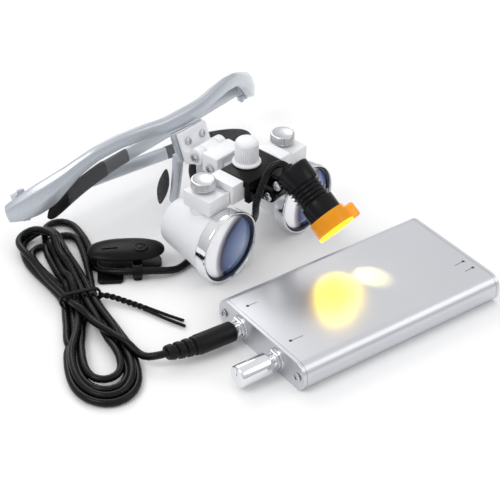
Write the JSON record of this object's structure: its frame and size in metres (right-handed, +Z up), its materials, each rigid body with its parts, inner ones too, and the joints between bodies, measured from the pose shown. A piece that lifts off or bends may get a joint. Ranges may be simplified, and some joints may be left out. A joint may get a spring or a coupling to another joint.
{
  "type": "dental loupes",
  "caption": "Magnifying loupes on a half-rim spectacle frame with hinged barrels, a clip-on headlight, a wound lead and a flat battery pack",
  "frame": {"origin": "bottom centre of the loupes and battery pack as they stand on the table, leaving out the lead, its clip and plug", "axes": "+Z up, the barrels look along -Y, the wearer's left is +X"},
  "size_m": [0.2087, 0.1933, 0.0571],
  "materials": {
    "white_plastic": "smooth moulded",
    "black_plastic": "satin moulded",
    "black_aluminium": "black anodised",
    "steel": "machined",
    "chrome": "polished",
    "silver_paint": "metallic silver",
    "grey_joiner": "satin",
    "black_rubber": "matt",
    "clear_lens": "clear",
    "coated_glass": "blue anti-reflection coating",
    "amber_filter": "translucent orange",
    "led_white": "emitter board",
    "brushed_aluminium": "satin anodised",
    "cell_wrap": "shrink wrap"
  },
  "bodies": {
    "optics_beam": {"beam": "white_plastic", "rail": "steel", "lamp_mount": "black_plastic", "arm_screw_lower": "steel", "cord_loop": "black_rubber", "cord_front": "black_rubber", "cord_tail": "black_rubber", "cord_hank": "black_rubber", "twist_tie": "black_rubber", "clip_lower": "black_plastic", "plug_body": "black_rubber", "plug_barrel": "steel"},
    "flip_link": {"link": "white_plastic", "link_pin_front": "steel", "link_pin_rear": "steel"},
    "spectacle_frame": {"brow_bar": "silver_paint", "lens_right": "clear_lens", "lens_left": "clear_lens", "nose_bridge": "silver_paint", "nose_pad_right": "black_rubber", "nose_pad_left": "black_rubber", "bracket_plate": "white_plastic", "bracket_screw_right": "steel", "bracket_screw_left": "steel"},
    "lamp_arm_body": {"lamp_arm": "black_aluminium", "arm_screw_upper": "steel"},
    "lamp_head": {"lamp_body": "black_aluminium", "led_board": "led_white", "condenser_lens": "clear_lens"},
    "filter": {"filter_cap": "amber_filter"},
    "center_knob": {"clamp_knob": "white_plastic"},
    "battery_pack": {"battery_case": "brushed_aluminium", "end_plate_near": "brushed_aluminium", "end_plate_far": "brushed_aluminium", "end_screw_1": "steel", "end_screw_2": "steel", "power_jack": "chrome", "dimmer_switch": "chrome", "charge_socket": "black_plastic", "battery_cell": "cell_wrap"},
    "dimmer": {"dimmer_knob": "chrome"},
    "clip_jaw": {"clip_upper": "black_plastic"},
    "temple_arm_right": {"temple_right": "silver_paint", "temple_joiner_right": "grey_joiner", "temple_sleeve_right": "black_rubber"},
    "carrier_body_right": {"carrier_right": "white_plastic"},
    "magnifier_right": {"barrel_right": "white_plastic", "rim_right": "chrome", "objective_lens_right": "coated_glass", "eyepiece_lens_right": "coated_glass"},
    "screw_right": {"thumbscrew_right": "steel"},
    "temple_arm_left": {"temple_left": "silver_paint", "temple_joiner_left": "grey_joiner", "temple_sleeve_left": "black_rubber"},
    "carrier_body_left": {"carrier_left": "white_plastic"},
    "magnifier_left": {"barrel_left": "white_plastic", "rim_left": "chrome", "objective_lens_left": "coated_glass", "eyepiece_lens_left": "coated_glass"},
    "screw_left": {"thumbscrew_left": "steel"}
  },
  "joints": [
    {"name": "flip_front", "type": "hinge", "parent": "optics_beam", "child": "flip_link", "pos_m": [0, 0.03218, 0.0373], "axis": [1, 0, 0], "range_deg": [0, 20]},
    {"name": "flip_rear", "type": "hinge", "parent": "flip_link", "child": "spectacle_frame", "pos_m": [0, 0.04176, 0.03943], "axis": [1, 0, 0], "range_deg": [0, 40]},
    {"name": "temple_left_fold", "type": "hinge", "parent": "spectacle_frame", "child": "temple_arm_left", "pos_m": [0.0705, 0.08842, 0.02306], "axis": [-0.0628, -0.3739, -0.9254], "range_deg": [0, 95]},
    {"name": "temple_right_fold", "type": "hinge", "parent": "spectacle_frame", "child": "temple_arm_right", "pos_m": [-0.0705, 0.08842, 0.02306], "axis": [0.0628, 0.3739, 0.9254], "range_deg": [0, 91]},
    {"name": "pupil_left", "type": "slide", "parent": "optics_beam", "child": "carrier_body_left", "axis": [1, 0, 0], "range_m": [0, 0.003]},
    {"name": "converge_left", "type": "hinge", "parent": "carrier_body_left", "child": "magnifier_left", "pos_m": [0.0259, 0.02018, 0.0323], "axis": [0, 0, -1], "range_deg": [0, 4]},
    {"name": "thumbscrew_left_turn", "type": "hinge", "parent": "carrier_body_left", "child": "screw_left", "pos_m": [0.0259, 0.02018, 0.0437], "axis": [0, 0, 1], "continuous": true},
    {"name": "pupil_right", "type": "slide", "parent": "optics_beam", "child": "carrier_body_right", "axis": [-1, 0, 0], "range_m": [0, 0.003]},
    {"name": "converge_right", "type": "hinge", "parent": "carrier_body_right", "child": "magnifier_right", "pos_m": [-0.0259, 0.02018, 0.0323], "axis": [0, 0, 1], "range_deg": [0, 4], "deforming": ["cord_front"]},
    {"name": "thumbscrew_right_turn", "type": "hinge", "parent": "carrier_body_right", "child": "screw_right", "pos_m": [-0.0259, 0.02018, 0.0437], "axis": [0, 0, 1], "continuous": true},
    {"name": "clamp_knob_turn", "type": "hinge", "parent": "optics_beam", "child": "center_knob", "pos_m": [0, 0.01838, 0.049], "axis": [0, 0, 1], "continuous": true},
    {"name": "arm_tilt", "type": "hinge", "parent": "optics_beam", "child": "lamp_arm_body", "pos_m": [0, -0.00002, 0.036], "axis": [1, 0, 0], "range_deg": [-15, 5], "deforming": ["cord_loop"]},
    {"name": "lamp_tilt", "type": "hinge", "parent": "lamp_arm_body", "child": "lamp_head", "pos_m": [0, -0.00612, 0.0449], "axis": [1, 0, 0], "range_deg": [-20, 5], "deforming": ["cord_loop"]},
    {"name": "filter_pull", "type": "slide", "parent": "lamp_head", "child": "filter", "axis": [0, -0.8049, -0.5934], "range_m": [0, 0.008]},
    {"name": "battery_unplug", "type": "slide", "parent": "optics_beam", "child": "battery_pack", "axis": [0.9789, -0.2045, 0], "range_m": [0, 0.015]},
    {"name": "dimmer_turn", "type": "hinge", "parent": "battery_pack", "child": "dimmer", "pos_m": [-0.05934, -0.05321, 0.00665], "axis": [0.9789, -0.2045, 0], "range_deg": [0, 300]},
    {"name": "clip_open", "type": "hinge", "parent": "optics_beam", "child": "clip_jaw", "pos_m": [-0.04614, 0.04207, 0.005], "axis": [0.682, 0.7314, 0], "range_deg": [0, 15], "stiffness_Nm_per_rad": 0.02, "springref_deg": -17.19}
  ]
}
